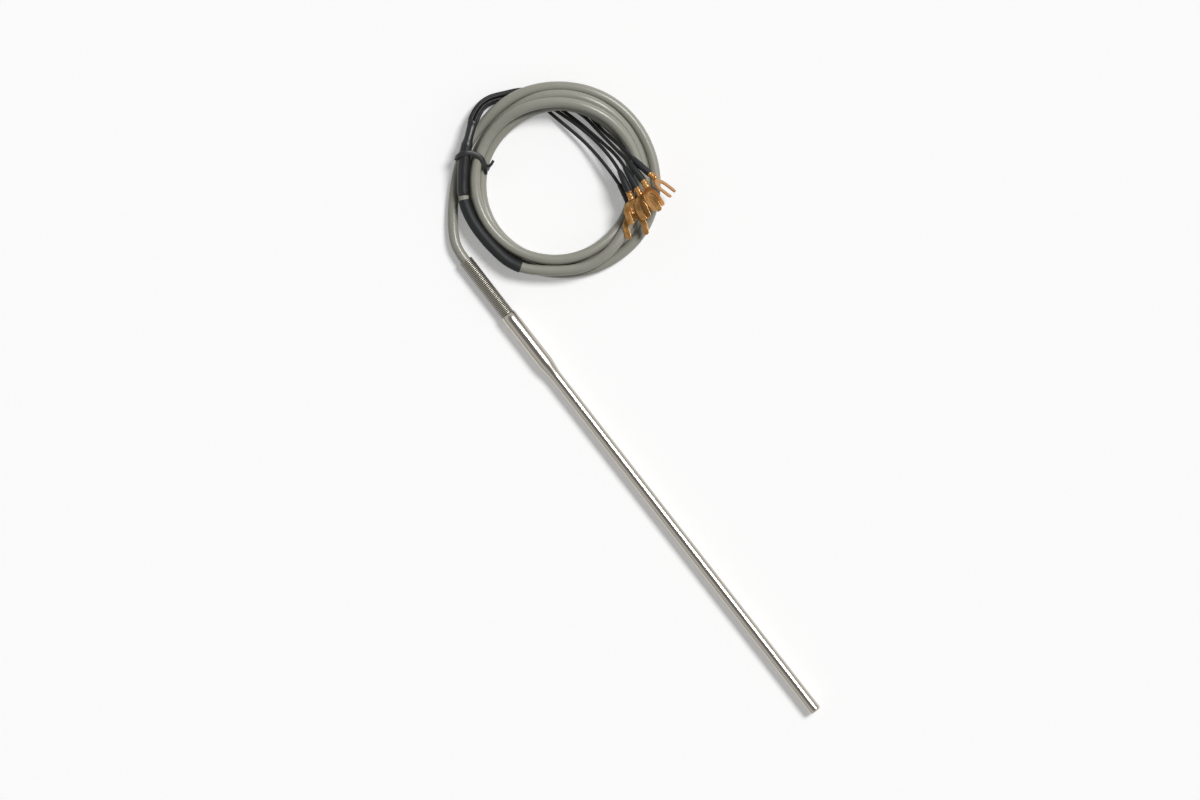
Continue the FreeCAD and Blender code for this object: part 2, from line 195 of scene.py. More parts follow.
print("stem", round((tip_x - stem_x) / MM, 1), "mm long, rear tube", round(2 * REAR_R / MM, 1), "mm thick")


# %% Turn the sheath
def turned(name, profile, sides=96):
    """A solid turned about the sheath's axis from x and radius pairs, with a flat cap at either end."""
    points, faces = [], []
    for x, r in profile:
        for j in range(sides):
            a = 2 * math.pi * j / sides
            points.append((x, r * math.cos(a), AXIS_Z + r * math.sin(a)))
    for i in range(len(profile) - 1):
        for j in range(sides):
            k = (j + 1) % sides
            faces.append((i * sides + j, i * sides + k, (i + 1) * sides + k, (i + 1) * sides + j))
    faces.append(tuple(reversed(range(sides))))
    faces.append(tuple(range((len(profile) - 1) * sides, len(profile) * sides)))
    return link(name, smooth_mesh(name, points, faces))


def mouth_profile():
    """The bore that the spring sits in, and the rim round it."""
    bore_r = REAR_R - WALL
    return [(joint_x + BORE_DEPTH, bore_r), (joint_x + MOUTH_EDGE, bore_r), (joint_x, bore_r + MOUTH_EDGE),
            (joint_x, REAR_R - MOUTH_EDGE), (joint_x + MOUTH_EDGE, REAR_R)]


def eased(share, start, end):
    """Rises smoothly from 0 at start to 1 at end."""
    t = min(1.0, max(0.0, (share - start) / (end - start)))
    return t * t * (3 - 2 * t)


def taper_profile():
    """Points of the taper, eased in and out."""
    out = []
    for i in range(TAPER_STEPS + 1):
        share = i / TAPER_STEPS
        blend = TAPER_EASE * eased(share, 0, 1) + (1 - TAPER_EASE) * share
        out.append((taper_x + TAPER_LENGTH * share, REAR_R + (STEM_R - REAR_R) * blend))
    return out


def tip_profile():
    """The rounded end, down to a tiny flat cap on the axis."""
    out = []
    for i in range(TIP_STEPS + 1):
        a = math.pi / 2 * i / TIP_STEPS
        x = tip_x - TIP_ROUND + TIP_ROUND * math.sin(a)
        out.append((x, STEM_R - TIP_ROUND + TIP_ROUND * math.cos(a)))
    return out + [(tip_x, TIP_CAP_R)]


rear_profile = [(joint_x + REAR_LENGTH * share, REAR_R) for share in REAR_SHARES]
stem_profile = [(stem_x + (tip_x - TIP_ROUND - stem_x) * share, STEM_R) for share in STEM_SHARES]
profile = mouth_profile() + rear_profile + taper_profile() + stem_profile + tip_profile()
sheath = finish_piece(turned("sheath", profile), steel, "steel_sheath", "probe_sheath")
print("sheath:", round((tip_x - joint_x) / MM, 1), "mm long,", len(sheath.data.polygons), "faces")

# %% [markdown]
# ## Spring
# A close-wound spring of steel wire keeps the cable from kinking where it enters the sheath. Rings set
# side by side would look much the same, but a real spring is a helix, so Geometry Nodes winds one: a
# spiral curve, a round wire profile, then a turn onto the sheath's axis. The sizes are named inputs of
# the tree, which the modifier sets by their identifiers. Little light gets in between the turns, so shade
# is painted into the wire's colour: it darkens with its depth below the crests.

# %% Wire with painted shade in its grooves
CREST_DEPTH = 0.05 * MM
GROOVE_DEPTH = 0.3 * MM
# painted shade: the wire's colour deep between its turns, where little light gets in
GROOVE_SHADE_COLOR = (0.05, 0.046, 0.04)
WIRE_COLOR = (0.58, 0.54, 0.47)
spring_top = spring_high[2] - AXIS_Z
wire_steel = finish("spring_wire", WIRE_COLOR, 0.4, metallic=1.0, rough_range=(0.36, 0.44))


def paint_groove_shade(material, crest, groove):
    """Paints shade on the wire between its turns, by the distance from the axis that it is wound round."""
    tree = material.node_tree
    coords = tree.nodes.new("ShaderNodeTexCoord")
    centred = tree.nodes.new("ShaderNodeVectorMath")
    centred.operation = "MULTIPLY_ADD"
    centred.inputs[1].default_value = (0, 1, 1)
    centred.inputs[2].default_value = (0, 0, -AXIS_Z)
    distance = tree.nodes.new("ShaderNodeVectorMath")
    distance.operation = "LENGTH"
    share = tree.nodes.new("ShaderNodeMapRange")
    share.inputs["From Min"].default_value = groove
    share.inputs["From Max"].default_value = crest
    tree.links.new(coords.outputs["Object"], centred.inputs[0])
    tree.links.new(centred.outputs["Vector"], distance.inputs[0])
    tree.links.new(distance.outputs["Value"], share.inputs["Value"])
    vary_color(tree, share.outputs["Result"], GROOVE_SHADE_COLOR, WIRE_COLOR)


# paints shade into the wire's colour between its turns
paint_groove_shade(wire_steel, spring_top - CREST_DEPTH, spring_top - GROOVE_DEPTH)
print("wire darkens over", round((GROOVE_DEPTH - CREST_DEPTH) / MM, 2), "mm")

# %% A tree that winds a spring
SPIRAL_POINTS = 64
WIRE_SIDES = 10
SPRING_INPUTS = (("Turns", "Float"), ("Mean Radius", "Float"), ("Length", "Float"), ("Wire Radius", "Float"),
                 ("Start", "Vector"), ("Wire Finish", "Material"))


def spring_tree():
    """The node tree, and the identifier of each of its inputs."""
    tree = bpy.data.node_groups.new("wind_spring", "GeometryNodeTree")
    face = tree.interface
    inputs = {}
    for name, kind in SPRING_INPUTS:
        socket = face.new_socket(name, in_out="INPUT", socket_type="NodeSocket" + kind)
        inputs[name] = socket.identifier
    face.new_socket("Geometry", in_out="OUTPUT", socket_type="NodeSocketGeometry")
    given = tree.nodes.new("NodeGroupInput")
    result = tree.nodes.new("NodeGroupOutput")
    spiral = tree.nodes.new("GeometryNodeCurveSpiral")
    spiral.inputs["Resolution"].default_value = SPIRAL_POINTS
    ring = tree.nodes.new("GeometryNodeCurvePrimitiveCircle")
    ring.inputs["Resolution"].default_value = WIRE_SIDES
    wire = tree.nodes.new("GeometryNodeCurveToMesh")
    wire.inputs["Fill Caps"].default_value = True
    turn = tree.nodes.new("GeometryNodeTransform")
    turn.inputs["Rotation"].default_value = (0, math.pi / 2, 0)
    shade = tree.nodes.new("GeometryNodeSetShadeSmooth")
    real = tree.nodes.new("GeometryNodeRealizeInstances")
    paint = tree.nodes.new("GeometryNodeSetMaterial")
    link_nodes = tree.links.new
    link_nodes(given.outputs["Turns"], spiral.inputs["Rotations"])
    link_nodes(given.outputs["Mean Radius"], spiral.inputs["Start Radius"])
    link_nodes(given.outputs["Mean Radius"], spiral.inputs["End Radius"])
    link_nodes(given.outputs["Length"], spiral.inputs["Height"])
    link_nodes(given.outputs["Wire Radius"], ring.inputs["Radius"])
    link_nodes(spiral.outputs["Curve"], wire.inputs["Curve"])
    link_nodes(ring.outputs["Curve"], wire.inputs["Profile Curve"])
    link_nodes(wire.outputs["Mesh"], turn.inputs["Geometry"])
    link_nodes(given.outputs["Start"], turn.inputs["Translation"])
    link_nodes(turn.outputs["Geometry"], shade.inputs["Geometry"])
    link_nodes(shade.outputs["Geometry"], real.inputs["Geometry"])
    link_nodes(real.outputs["Geometry"], paint.inputs["Geometry"])
    link_nodes(given.outputs["Wire Finish"], paint.inputs["Material"])
    link_nodes(paint.outputs["Geometry"], result.inputs["Geometry"])
    return tree, inputs


# %% Wind the spring
WIRE_R = 0.4 * MM
spring_r = (spring_high[1] - spring_low[1]) / 2
spring_length = spring_high[0] - spring_low[0] - 2 * WIRE_R
spring_turns = spring_length / (2 * WIRE_R)
tree, ids = spring_tree()
spring = link("spring", bpy.data.meshes.new("spring"))
winding = spring.modifiers.new("winding", "NODES")
winding.node_group = tree
winding[ids["Turns"]] = spring_turns
winding[ids["Mean Radius"]] = spring_r - WIRE_R
winding[ids["Length"]] = spring_length
winding[ids["Wire Radius"]] = WIRE_R
winding[ids["Start"]] = (EXIT_X + WIRE_R, 0.0, AXIS_Z)
winding[ids["Wire Finish"]] = wire_steel
bpy.context.view_layer.update()
wound = bpy.data.meshes.new_from_object(spring.evaluated_get(bpy.context.evaluated_depsgraph_get()))
spring.modifiers.remove(winding)
spring.data = wound
finish_piece(spring, wire_steel, "spring_steel", "strain_relief_spring")
print("spring:", round(spring_turns, 1), "turns,", len(wound.polygons), "faces")

# %% [markdown]
# ## Cable
# The cable is one length of grey plastic jacket: out of the spring, round the coil and along its tail.
# Separate rings would be easier to place, but a real coil is one strand that climbs over itself, so it
# is one curve. A NURBS curve of order 3 runs smoothly past its control points. Order and end points are
# set after the points are added, because a spline with too few points falls back to straight runs.

# %% Curves
GUIDE_RESOLUTION = 12
CORD_BEVEL = 6


def nurbs(name, points, radius, resolution, cyclic=False):
    data = bpy.data.curves.new(name, "CURVE")
    data.dimensions = "3D"
    data.resolution_u = resolution
    data.bevel_depth = radius
    data.bevel_resolution = CORD_BEVEL
    data.use_fill_caps = radius > 0
    data.twist_mode = "MINIMUM"
    spline = data.splines.new("NURBS")
    spline.points.add(len(points) - 1)
    for control, point in zip(spline.points, points):
        control.co = (point[0], point[1], point[2], 1.0)
    spline.use_cyclic_u = cyclic
    spline.order_u = 3
    spline.use_endpoint_u = not cyclic
    return link(name, data)


def line_of(points, cyclic=False):
    """The points of the smooth line along a route, read back from a curve that has no thickness."""
    guide = nurbs("guide", points, 0.0, GUIDE_RESOLUTION, cyclic)
    bpy.context.view_layer.update()
    mesh = bpy.data.meshes.new_from_object(guide.evaluated_get(bpy.context.evaluated_depsgraph_get()))
    line = [vertex.co.copy() for vertex in mesh.vertices]
    curve = guide.data
    bpy.data.objects.remove(guide)
    bpy.data.curves.remove(curve)
    bpy.data.meshes.remove(mesh)
    return line


def length_of(line):
    return sum((far - near).length for near, far in zip(line, line[1:]))


# %% [markdown]
# A route is a list of millimetre points, counted from a spot on the table near the cable's exit, as in
# the CAD source. The coil's turns aren't listed point by point. A table gives the strand at some angles:
# its radius, read off the photograph, and its height, chosen so that the strands rest on each other. A
# loop then fills in control points at even steps.

# %% The cable's route
MM_PER_PIXEL = 0.483
PHOTO_TURN = 52.16
COIL_X, COIL_Y = -3.4, 57.8
STEP_DEGREES = 15
LEAD_IN = [
    ((EXIT_X - ROUTE_X) / MM, 0, AXIS_Z / MM), (-8.2, 0, AXIS_Z / MM), (-15.4, 3.4, 3.2), (-23.7, 9.5, 2.6),
    (-31.8, 17, 2.7), (-39.4, 25.6, 3.1), (-44.6, 34.5, 3.2),
]
TAIL = [
    (21.9, 21.6, 7.9), (13.1, 16, 8.0), (2.7, 14.2, 8.0), (-7.5, 13.6, 7.9), (-17.3, 14.6, 7.9),
    (-26, 17.6, 8.2), (-34.5, 24.4, 8.9), (-41.3, 30.5, 9.3), (-46.6, 37.3, 9.2), (-51.8, 44, 7.6),
]
# angle in degrees in the photograph, radius in its pixels, height in millimetres
PASSES = [
    (145, 95.0, 2.9), (135, 94.9, 5.0), (125, 95.6, 6.3), (115, 96.2, 6.5), (100, 96.2, 6.55),
    (90, 96.0, 6.55), (70, 97.0, 6.4), (50, 97.9, 4.8), (30, 97.6, 3.2), (10, 97.9, 2.6), (-20, 98.1, 2.55),
    (-36, 96.6, 2.55), (-50, 94.2, 2.55), (-70, 91.8, 2.55), (-90, 89.2, 2.55), (-105, 88.5, 2.55),
    (-120, 88.2, 2.55), (-140, 87.9, 2.55), (-160, 87.4, 2.7), (-180, 86.6, 3.1), (-197, 86.2, 3.15),
    (-205, 85.7, 3.0), (-215, 84.9, 2.6), (-225, 85.0, 3.1), (-235, 85.0, 5.2), (-242, 85.3, 7.2),
    (-250, 86.2, 9.5), (-260, 87.2, 10.3), (-270, 87.5, 10.4), (-290, 88.0, 10.0), (-310, 88.0, 7.7),
    (-330, 87.2, 3.9), (-350, 87.3, 2.65), (-380, 87.4, 2.55), (-396, 86.2, 2.55), (-410, 83.7, 2.55),
    (-430, 81.3, 2.55), (-450, 78.7, 2.55), (-465, 78.0, 2.55), (-480, 77.7, 2.55), (-500, 77.3, 2.55),
    (-520, 76.7, 2.7), (-540, 75.9, 3.1), (-557, 75.6, 3.2), (-570, 75.0, 3.6), (-585, 74.7, 4.9),
    (-600, 74.8, 5.9), (-615, 76.0, 6.4), (-630, 77.5, 6.45), (-650, 77.5, 6.3), (-670, 76.8, 4.8),
    (-690, 76.0, 3.1), (-710, 75.8, 2.6), (-735, 75.5, 2.55), (-752, 75.0, 2.9), (-765, 75.0, 4.6),
    (-778, 75.4, 6.4), (-790, 75.8, 7.0), (-810, 76.5, 7.5), (-825, 77.2, 7.6), (-840, 78.4, 7.7),
    (-860, 79.8, 7.8), (-880, 81.3, 7.8), (-900, 82.4, 8.0), (-917, 82.5, 8.1), (-930, 82.4, 8.3),
    (-945, 82.2, 9.9), (-955, 81.6, 11.7), (-965, 80.6, 13.1), (-975, 79.8, 13.6), (-990, 79.5, 13.7),
    (-1010, 80.0, 13.3), (-1030, 81.0, 11.6), (-1050, 81.6, 8.4), (-1070, 81.9, 6.95), (-1100, 82.0, 6.95),
    (-1115, 81.9, 6.95), (-1130, 85.2, 8.7), (-1145, 87.6, 7.9), (-1170, 88.6, 7.8),
]


def at(x, y, z):
    """A route point in metres, in the frame of the part."""
    return Vector((ROUTE_X + x * MM, y * MM, z * MM))


def pass_point(angle):
    """Radius in photo pixels and height in millimetres, between the table's rows."""
    for (a0, r0, z0), (a1, r1, z1) in zip(PASSES, PASSES[1:]):
        if a1 <= angle <= a0:
            share = (a0 - angle) / (a0 - a1)
            return r0 + (r1 - r0) * share, z0 + (z1 - z0) * share
    raise ValueError("angle outside the table")


def coil_points():
    """Control points of the coil, set a little outwards because the curve runs inside them."""
    outward = 1 / math.cos(math.radians(STEP_DEGREES / 2))
    out = []
    angle = PASSES[0][0]
    while angle >= PASSES[-1][0]:
        radius, height = pass_point(angle)
        turn = math.radians(angle + PHOTO_TURN)
        reach = radius * MM_PER_PIXEL * outward
        out.append((COIL_X + reach * math.cos(turn), COIL_Y + reach * math.sin(turn), height))
        angle -= STEP_DEGREES
    return out


cable_route = [at(*p) for p in LEAD_IN + coil_points() + TAIL]
print("cable route:", len(cable_route), "points")

# %% [markdown]
# The jacket ends inside the breakout sleeve, while the sleeve goes on along the same line. So the route
# stays whole for the sleeves, and the cable itself stops between two of its last points.

# %% Lay the cable
CABLE_R = 2.5 * MM
CABLE_RESOLUTION = 6
jacket = finish("cable_jacket", (0.315, 0.312, 0.263), 0.3, rough_range=(0.25, 0.34),
                color_low=(0.355, 0.352, 0.298), scale=350.0)
cable_end = (cable_route[-3] + cable_route[-2]) / 2
cable_points = cable_route[:-2] + [cable_end]
cable = nurbs("cable", cable_points, CABLE_R, CABLE_RESOLUTION)
finish_piece(cable, jacket, "cable_jacket", "cable_lead_in", "cable_coil", "cable_tail")
cable_length = length_of(line_of(cable_points))
print("cable:", len(cable_points), "control points,", round(cable_length, 3), "m")

# %% [markdown]
# ## Sleeves on the cable
# Two black heat-shrink sleeves sit on the tail: a matt label sleeve, and a glossier breakout sleeve where
# the cable splits into its leads. Bevelled curves would give tubes of one thickness, but shrunk tubing
# shows what lies under it. So a ring is swept along the cable's own line, with a radius that changes.


# %% Sweep a tube along a line
def spread(line, step):
    """The same line with its points an even step apart."""
    out, left = [line[0].copy()], step
    for near, far in zip(line, line[1:]):
        length, done = (far - near).length, 0.0
        while length - done >= left:
            done += left
            out.append(near.lerp(far, done / length))
            left = step
        left -= length - done
    if (out[-1] - line[-1]).length > step / 4:
        out.append(line[-1].copy())
    return out


def nearest(line, point):
    return min(range(len(line)), key=lambda i: (line[i] - point).length)


def sweep(name, line, radius_at, sides=32, squash_at=None):
    """A closed tube along a line; radius_at and squash_at take the share of the way from 0 to 1."""
    points, faces = [], []
    ahead = (line[1] - line[0]).normalized()
    side = ahead.cross(Vector((0, 0, 1))).normalized()
    lengths = [0.0]
    for near, far in zip(line, line[1:]):
        lengths.append(lengths[-1] + (far - near).length)
    for i, point in enumerate(line):
        new_ahead = (line[min(i + 1, len(line) - 1)] - line[max(i - 1, 0)]).normalized()
        side.rotate(ahead.rotation_difference(new_ahead))
        ahead = new_ahead
        up = side.cross(ahead)
        share = lengths[i] / lengths[-1]
        radius = radius_at(share)
        flat = squash_at(share) if squash_at else 1.0
        for j in range(sides):
            a = 2 * math.pi * j / sides
            points.append(point + side * (radius * math.cos(a)) + up * (radius * flat * math.sin(a)))
    for i in range(len(line) - 1):
        for j in range(sides):
            k = (j + 1) % sides
            faces.append((i * sides + j, (i + 1) * sides + j, (i + 1) * sides + k, i * sides + k))
    faces.append(tuple(range(sides)))
    faces.append(tuple(reversed(range((len(line) - 1) * sides, len(line) * sides))))
    return link(name, smooth_mesh(name, points, faces))


# %% Places of the sleeves
FINE_STEP = 0.5 * MM
TAIL_STRETCH = 150 * MM
BARE_STRETCH = 1.5 * MM
LABEL_FROM = (18.0, 18.6, 8.0)
LABEL_TO = (-25.2, 17.4, 8.1)
fine = spread(line_of(cable_route), FINE_STEP)


def tail_index(point):
    """The place on the cable's tail that is nearest to a route point."""
    start = len(fine) - round(TAIL_STRETCH / FINE_STEP)
    return start + nearest(fine[start:], at(*point))


label_first = tail_index(LABEL_FROM)
label_last = tail_index(LABEL_TO)
label_line = fine[label_first:label_last]
breakout_line = fine[label_last + round(BARE_STRETCH / FINE_STEP):]
print("label sleeve", round(length_of(label_line) / MM, 1), "mm long")
print("breakout sleeve", round(length_of(breakout_line) / MM, 1), "mm long")

# %% Shrink the label sleeve on
LABEL_R = 2.8 * MM
LABEL_RIPPLE = 0.03 * MM
LABEL_WAVES = (47.0, 19.0)
LABEL_RIM = 0.18 * MM
LABEL_RIM_SHARE = 0.012
sleeve_black = finish("sleeve_black", (0.018, 0.020, 0.021), 0.55, rough_range=(0.48, 0.64), scale=700.0,
                      Specular_IOR_Level=0.35)


def ripple(share, height, waves, shift=0.0):
    """A small unevenness along a sleeve, from two waves of different length."""
    return height * math.sin(share * waves[0] + shift) * math.sin(share * waves[1])


def label_radius(share):
    """Even but for a ripple, and thinner at the rims."""
    edge = min(share, 1 - share)
    rim = LABEL_RIM * max(0.0, 1 - edge / LABEL_RIM_SHARE)
    return LABEL_R + ripple(share, LABEL_RIPPLE, LABEL_WAVES) - rim


label = sweep("label_tube", label_line, label_radius)
finish_piece(label, sleeve_black, "black_sleeve", "label_sleeve")
print("label sleeve:", len(label.data.polygons), "faces")

# %% Shrink the breakout sleeve on
BREAKOUT_R = 2.82 * MM
BREAKOUT_SWELL = 0.05 * MM
BREAKOUT_WAVES = (21.0, 9.0)
BREAKOUT_WAVE_SHIFT = 0.6
HEEL = 0.2 * MM
HEEL_END = 0.02
# change of the radius, and the shares of the way where it starts and ends: drawn in, mouth, lip
BREAKOUT_CHANGES = [(-0.62 * MM, 0.66, 0.76), (0.34 * MM, 0.92, 0.99), (-0.14 * MM, 0.992, 1.0)]
FLATTENED = 0.22
FLAT_FROM, FLAT_TO = 0.68, 0.95
glossy_black = finish("breakout_black", (0.017, 0.018, 0.018), 0.36, rough_range=(0.28, 0.42), scale=500.0)


def breakout_radius(share):
    """Full over the cable, drawn in over the leads alone, and open again at the mouth."""
    swell = ripple(share, BREAKOUT_SWELL, BREAKOUT_WAVES, BREAKOUT_WAVE_SHIFT)
    heel = HEEL * (1 - eased(share, 0.0, HEEL_END))
    changes = sum(change * eased(share, start, end) for change, start, end in BREAKOUT_CHANGES)
    return BREAKOUT_R + swell - heel + changes


def breakout_squash(share):
    """Height over width: round over the cable, flattened where only the leads are inside."""
    return 1.0 - FLATTENED * eased(share, FLAT_FROM, FLAT_TO)


breakout = sweep("breakout_tube", breakout_line, breakout_radius, squash_at=breakout_squash)
finish_piece(breakout, glossy_black, "black_sleeve", "breakout_sleeve")
print("breakout sleeve:", len(breakout.data.polygons), "faces")

# %% [markdown]
# ## Leads
# Five insulated wires leave the breakout side by side in two rows, pass under the coil and fan out. One
# thick curve could stand for the bundle, but the wires part, so each has a curve of its own. They share
# the first points, set beside each other. Each lead ends in its lug's barrel, so its last two points come
# from the lug's own place and heading.

# %% Routes of the leads
SIDE_STEP = 0.9
ROW_STEP = 0.78
BUNDLE = [
    (-51.8, 44, 7.6), (-55.1, 49.1, 6.2), (-55.6, 56.3, 3.7), (-52.1, 64.0, 2.0), (-48.9, 71.0, 1.65),
    (-43.9, 75.8, 1.65),
]
# steps to the right of the bundle's line, and above it
BUNDLE_PLACES = [(2, -1), (1, 1), (0, -1), (-1, 1), (-2, -1)]
FAN_ROUTES = [
    [(-33.6, 75.6, 2.1), (-20.4, 78.6, 3.0), (-8.3, 80.9, 4.4), (6.8, 81.4, 7.6)],
    [(-33.8, 78.0, 2.6), (-20.8, 82.4, 3.6), (-8.0, 85.1, 5.3), (6.2, 85.6, 9.6)],
    [(-34.4, 80.0, 1.8), (-21.4, 83.9, 2.2), (-8.2, 86.5, 3.9), (5.2, 88.6, 10.4)],
    [(-35.0, 82.2, 2.6), (-22.0, 88.0, 2.9), (-9.6, 88.8, 5.4), (5.2, 90.4, 12.2)],
    [(-36.3, 84.4, 1.2), (-23.0, 90.0, 1.5), (-10.8, 90.3, 4.0), (3.4, 92.9, 11.8)],
]
# place of each lug, its heading and its roll in degrees
LUGS = [
    ((26.8, 78.6, 11.3), -23.9, 0),
    ((21.0, 82.2, 14.45), -16.7, 0),
    ((21.8, 86.2, 15.65), -7.8, 0),
    ((21.0, 90.8, 16.8), -4.3, -52),
    ((20.1, 95.2, 15.8), 15.0, -65),
]


def lug_matrix(place, heading, roll):
    turn = Euler((math.radians(roll), 0, math.radians(heading)), "XYZ").to_matrix().to_4x4()
    return Matrix.Translation(at(*place)) @ turn


def beside(points, side, rise):
    """A route to the right of another one by side and above it by rise. Its first two points keep the
    first heading, which is that of the breakout sleeve."""
    out = []
    for i, point in enumerate(points):
        near, far = (0, 1) if i < 2 else (i - 1, min(i + 1, len(points) - 1))
        ahead = (points[far] - points[near]).normalized()
        right = ahead.cross(Vector((0, 0, 1))).normalized()
        out.append(point + right * side + right.cross(ahead) * rise)
    return out


# %% Lay the leads
LEAD_R = 0.85 * MM
LEAD_RESOLUTION = 8
STRAIGHT_BEFORE_LUG = 4.0 * MM
LEAD_IN_BARREL = 3.0 * MM
lead_black = finish("lead_insulation", (0.012, 0.012, 0.012), 0.5, rough_range=(0.42, 0.55), scale=500.0,
                    Specular_IOR_Level=0.35)
bundle = [at(*p) for p in BUNDLE]
leads, lead_routes, lead_lengths, lug_places = [], [], [], []
for number, (fan_route, (side, row), lug_place) in enumerate(zip(FAN_ROUTES, BUNDLE_PLACES, LUGS), 1):
    matrix = lug_matrix(*lug_place)
    last = [matrix @ Vector((-STRAIGHT_BEFORE_LUG, 0, 0)), matrix @ Vector((LEAD_IN_BARREL, 0, 0))]
    route = beside(bundle, side * SIDE_STEP * MM, row * ROW_STEP * MM) + [at(*p) for p in fan_route] + last
    lead = nurbs("lead_%d" % number, route, LEAD_R, LEAD_RESOLUTION)
    finish_piece(lead, lead_black, "black_insulation", "lead_wire_%d" % number)
    leads.append(lead)
    lead_routes.append(route)
    lead_lengths.append(length_of(line_of(route)))
    lug_places.append(matrix)
print("leads:", [round(length, 3) for length in lead_lengths], "m")

# %% [markdown]
# ## Lug sleeves
# A short heat-shrink sleeve covers each crimp. A plain cylinder would stand off the bent wire, so the
# sleeve is swept along the lead's line, as the others are, and narrows towards its rear.

# %% Shrink the lug sleeves on
SLEEVE_R = 1.65 * MM
SLEEVE_LENGTH = 12.5 * MM
SLEEVE_WALL = 0.15 * MM
SLEEVE_ON_BARREL = 0.6 * MM
SLEEVE_STEP = 0.3 * MM
SLEEVE_SIDES = 24
WIDENING_SHARE = 0.45
WIDENING_POWER = 0.6


def sleeve_radius(share):
    """Close on the lead at the rear, widening quickly to the width of the barrel."""
    rear = LEAD_R + SLEEVE_WALL
    return rear + (SLEEVE_R - rear) * min(1.0, share / WIDENING_SHARE) ** WIDENING_POWER


for number, (route, matrix) in enumerate(zip(lead_routes, lug_places), 1):
    line = spread(line_of(route), SLEEVE_STEP)
    end = nearest(line, matrix @ Vector((SLEEVE_ON_BARREL, 0, 0)))
    start = max(0, end - int(SLEEVE_LENGTH / SLEEVE_STEP))
    sleeve = sweep("lug_sleeve_tube_%d" % number, line[start:end + 1], sleeve_radius, SLEEVE_SIDES)
    finish_piece(sleeve, sleeve_black, "black_sleeve", "lug_sleeve_%d" % number)

# %% [markdown]
# ## Lugs
# A spade lug is stamped from copper sheet, with its barrel rolled round the lead and crimped twice. It
# could be cut out with booleans, but those leave ragged faces. One mesh is drawn flat instead, in
# millimetres at the origin: an outline made thick, with rims bevelled so that they catch the light, and a
# turned barrel. A copy goes to each lug's place.

# %% Outline of the tongue
NECK = [(3.2, 1.3), (4.5, 1.9)]
FORK_HALF = 5.9
FORK_CENTRE = 10.05
FORK_TIP = 15.5
SHOULDER_FROM, SHOULDER_TURN = 158, 68
SHOULDER_STEPS = 7
TINE_CUT = 1.0
SLOT_HALF = 3.05
SLOT_EDGE = 0.3
SLOT_STEPS = 8


def tongue_outline():
    """The fork seen from above: the neck, the round shoulders, the two tines and the slot between."""
    side = list(NECK)
    for i in range(SHOULDER_STEPS + 1):
        a = math.radians(SHOULDER_FROM - SHOULDER_TURN * i / SHOULDER_STEPS)
        side.append((FORK_CENTRE + FORK_HALF * math.cos(a), FORK_HALF * math.sin(a)))
    side += [(FORK_TIP - TINE_CUT, FORK_HALF), (FORK_TIP, FORK_HALF - TINE_CUT)]
    side += [(FORK_TIP, SLOT_HALF + SLOT_EDGE), (FORK_TIP - SLOT_EDGE, SLOT_HALF)]
    for i in range(SLOT_STEPS + 1):
        a = math.radians(90 + 90 * i / SLOT_STEPS)
        side.append((FORK_CENTRE + SLOT_HALF * math.cos(a), SLOT_HALF * math.sin(a)))
    return side + [(x, -y) for x, y in reversed(side[:-1])]


print("tongue outline:", len(tongue_outline()), "points")

# %% Shape of a lug
SHEET_LOW = -1.55
SHEET = 0.7
RIM_BEVEL = 0.17
BARREL_SIDES = 28
BARREL_WIDENING = 1.06
# x and radius: the rear rim, two crimps, the front rim and the short bore in front
BARREL = [
    (0, 0.9), (0, 1.42), (0.15, 1.55), (0.9, 1.55), (1.15, 1.3), (1.4, 1.3), (1.65, 1.58), (2.2, 1.58),
    (2.45, 1.3), (2.7, 1.3), (2.95, 1.55), (4.2, 1.55), (4.4, 1.42), (4.4, 0.95), (3.1, 0.95), (3.1, 0.01),
]


def add_tongue(shape):
    """The outline made thick, with its upper and lower rims bevelled."""
    flat = shape.faces.new([shape.verts.new((x, y, SHEET_LOW)) for x, y in tongue_outline()])
    raised = bmesh.ops.extrude_face_region(shape, geom=[flat])["geom"]
    top = [v for v in raised if isinstance(v, bmesh.types.BMVert)]
    bmesh.ops.translate(shape, verts=top, vec=(0, 0, SHEET))
    rims = [edge for edge in shape.edges if abs(edge.verts[0].co.z - edge.verts[1].co.z) < SHEET / 2]
    bmesh.ops.bevel(shape, geom=rims, offset=RIM_BEVEL, segments=2, profile=0.5, affect="EDGES")


def add_barrel(shape):
    """The crimped barrel, flat underneath where it lies level with the sheet."""
    rings = []
    turns = [2 * math.pi * j / BARREL_SIDES for j in range(BARREL_SIDES)]
    for x, r in BARREL:
        ring = [(x, BARREL_WIDENING * r * math.cos(a), max(SHEET_LOW, r * math.sin(a))) for a in turns]
        rings.append([shape.verts.new(point) for point in ring])
    for near, far in zip(rings, rings[1:]):
        for j in range(BARREL_SIDES):
            k = (j + 1) % BARREL_SIDES
            shape.faces.new((near[j], far[j], far[k], near[k])).smooth = True
    shape.faces.new(rings[0])
    shape.faces.new(rings[-1])


# %% Stamp the lugs
copper = finish("lug_copper", (0.76, 0.43, 0.16), 0.4, metallic=1.0, rough_range=(0.24, 0.42),
                color_low=(0.34, 0.155, 0.045), bump=0.7, scale=300.0)
stamped = bmesh.new()
add_tongue(stamped)
add_barrel(stamped)
bmesh.ops.recalc_face_normals(stamped, faces=stamped.faces)
bmesh.ops.scale(stamped, verts=stamped.verts, vec=(MM, MM, MM))
for number, matrix in enumerate(lug_places, 1):
    mesh = bpy.data.meshes.new("lug_%d" % number)
    stamped.to_mesh(mesh)
    mesh.transform(matrix)
    lug = finish_piece(link("lug_%d" % number, mesh), copper, "copper_lug", "spade_lug_%d" % number)
stamped.free()

# %% [markdown]
# ## Inner pieces
# A glass bead senses the temperature at the tip. Wires in a liner join it to the cable, held by potting.
# They could be modelled again, but no one sees them unless the sheath is cut open. So they stay CAD nodes,
# and plain finishes will do.

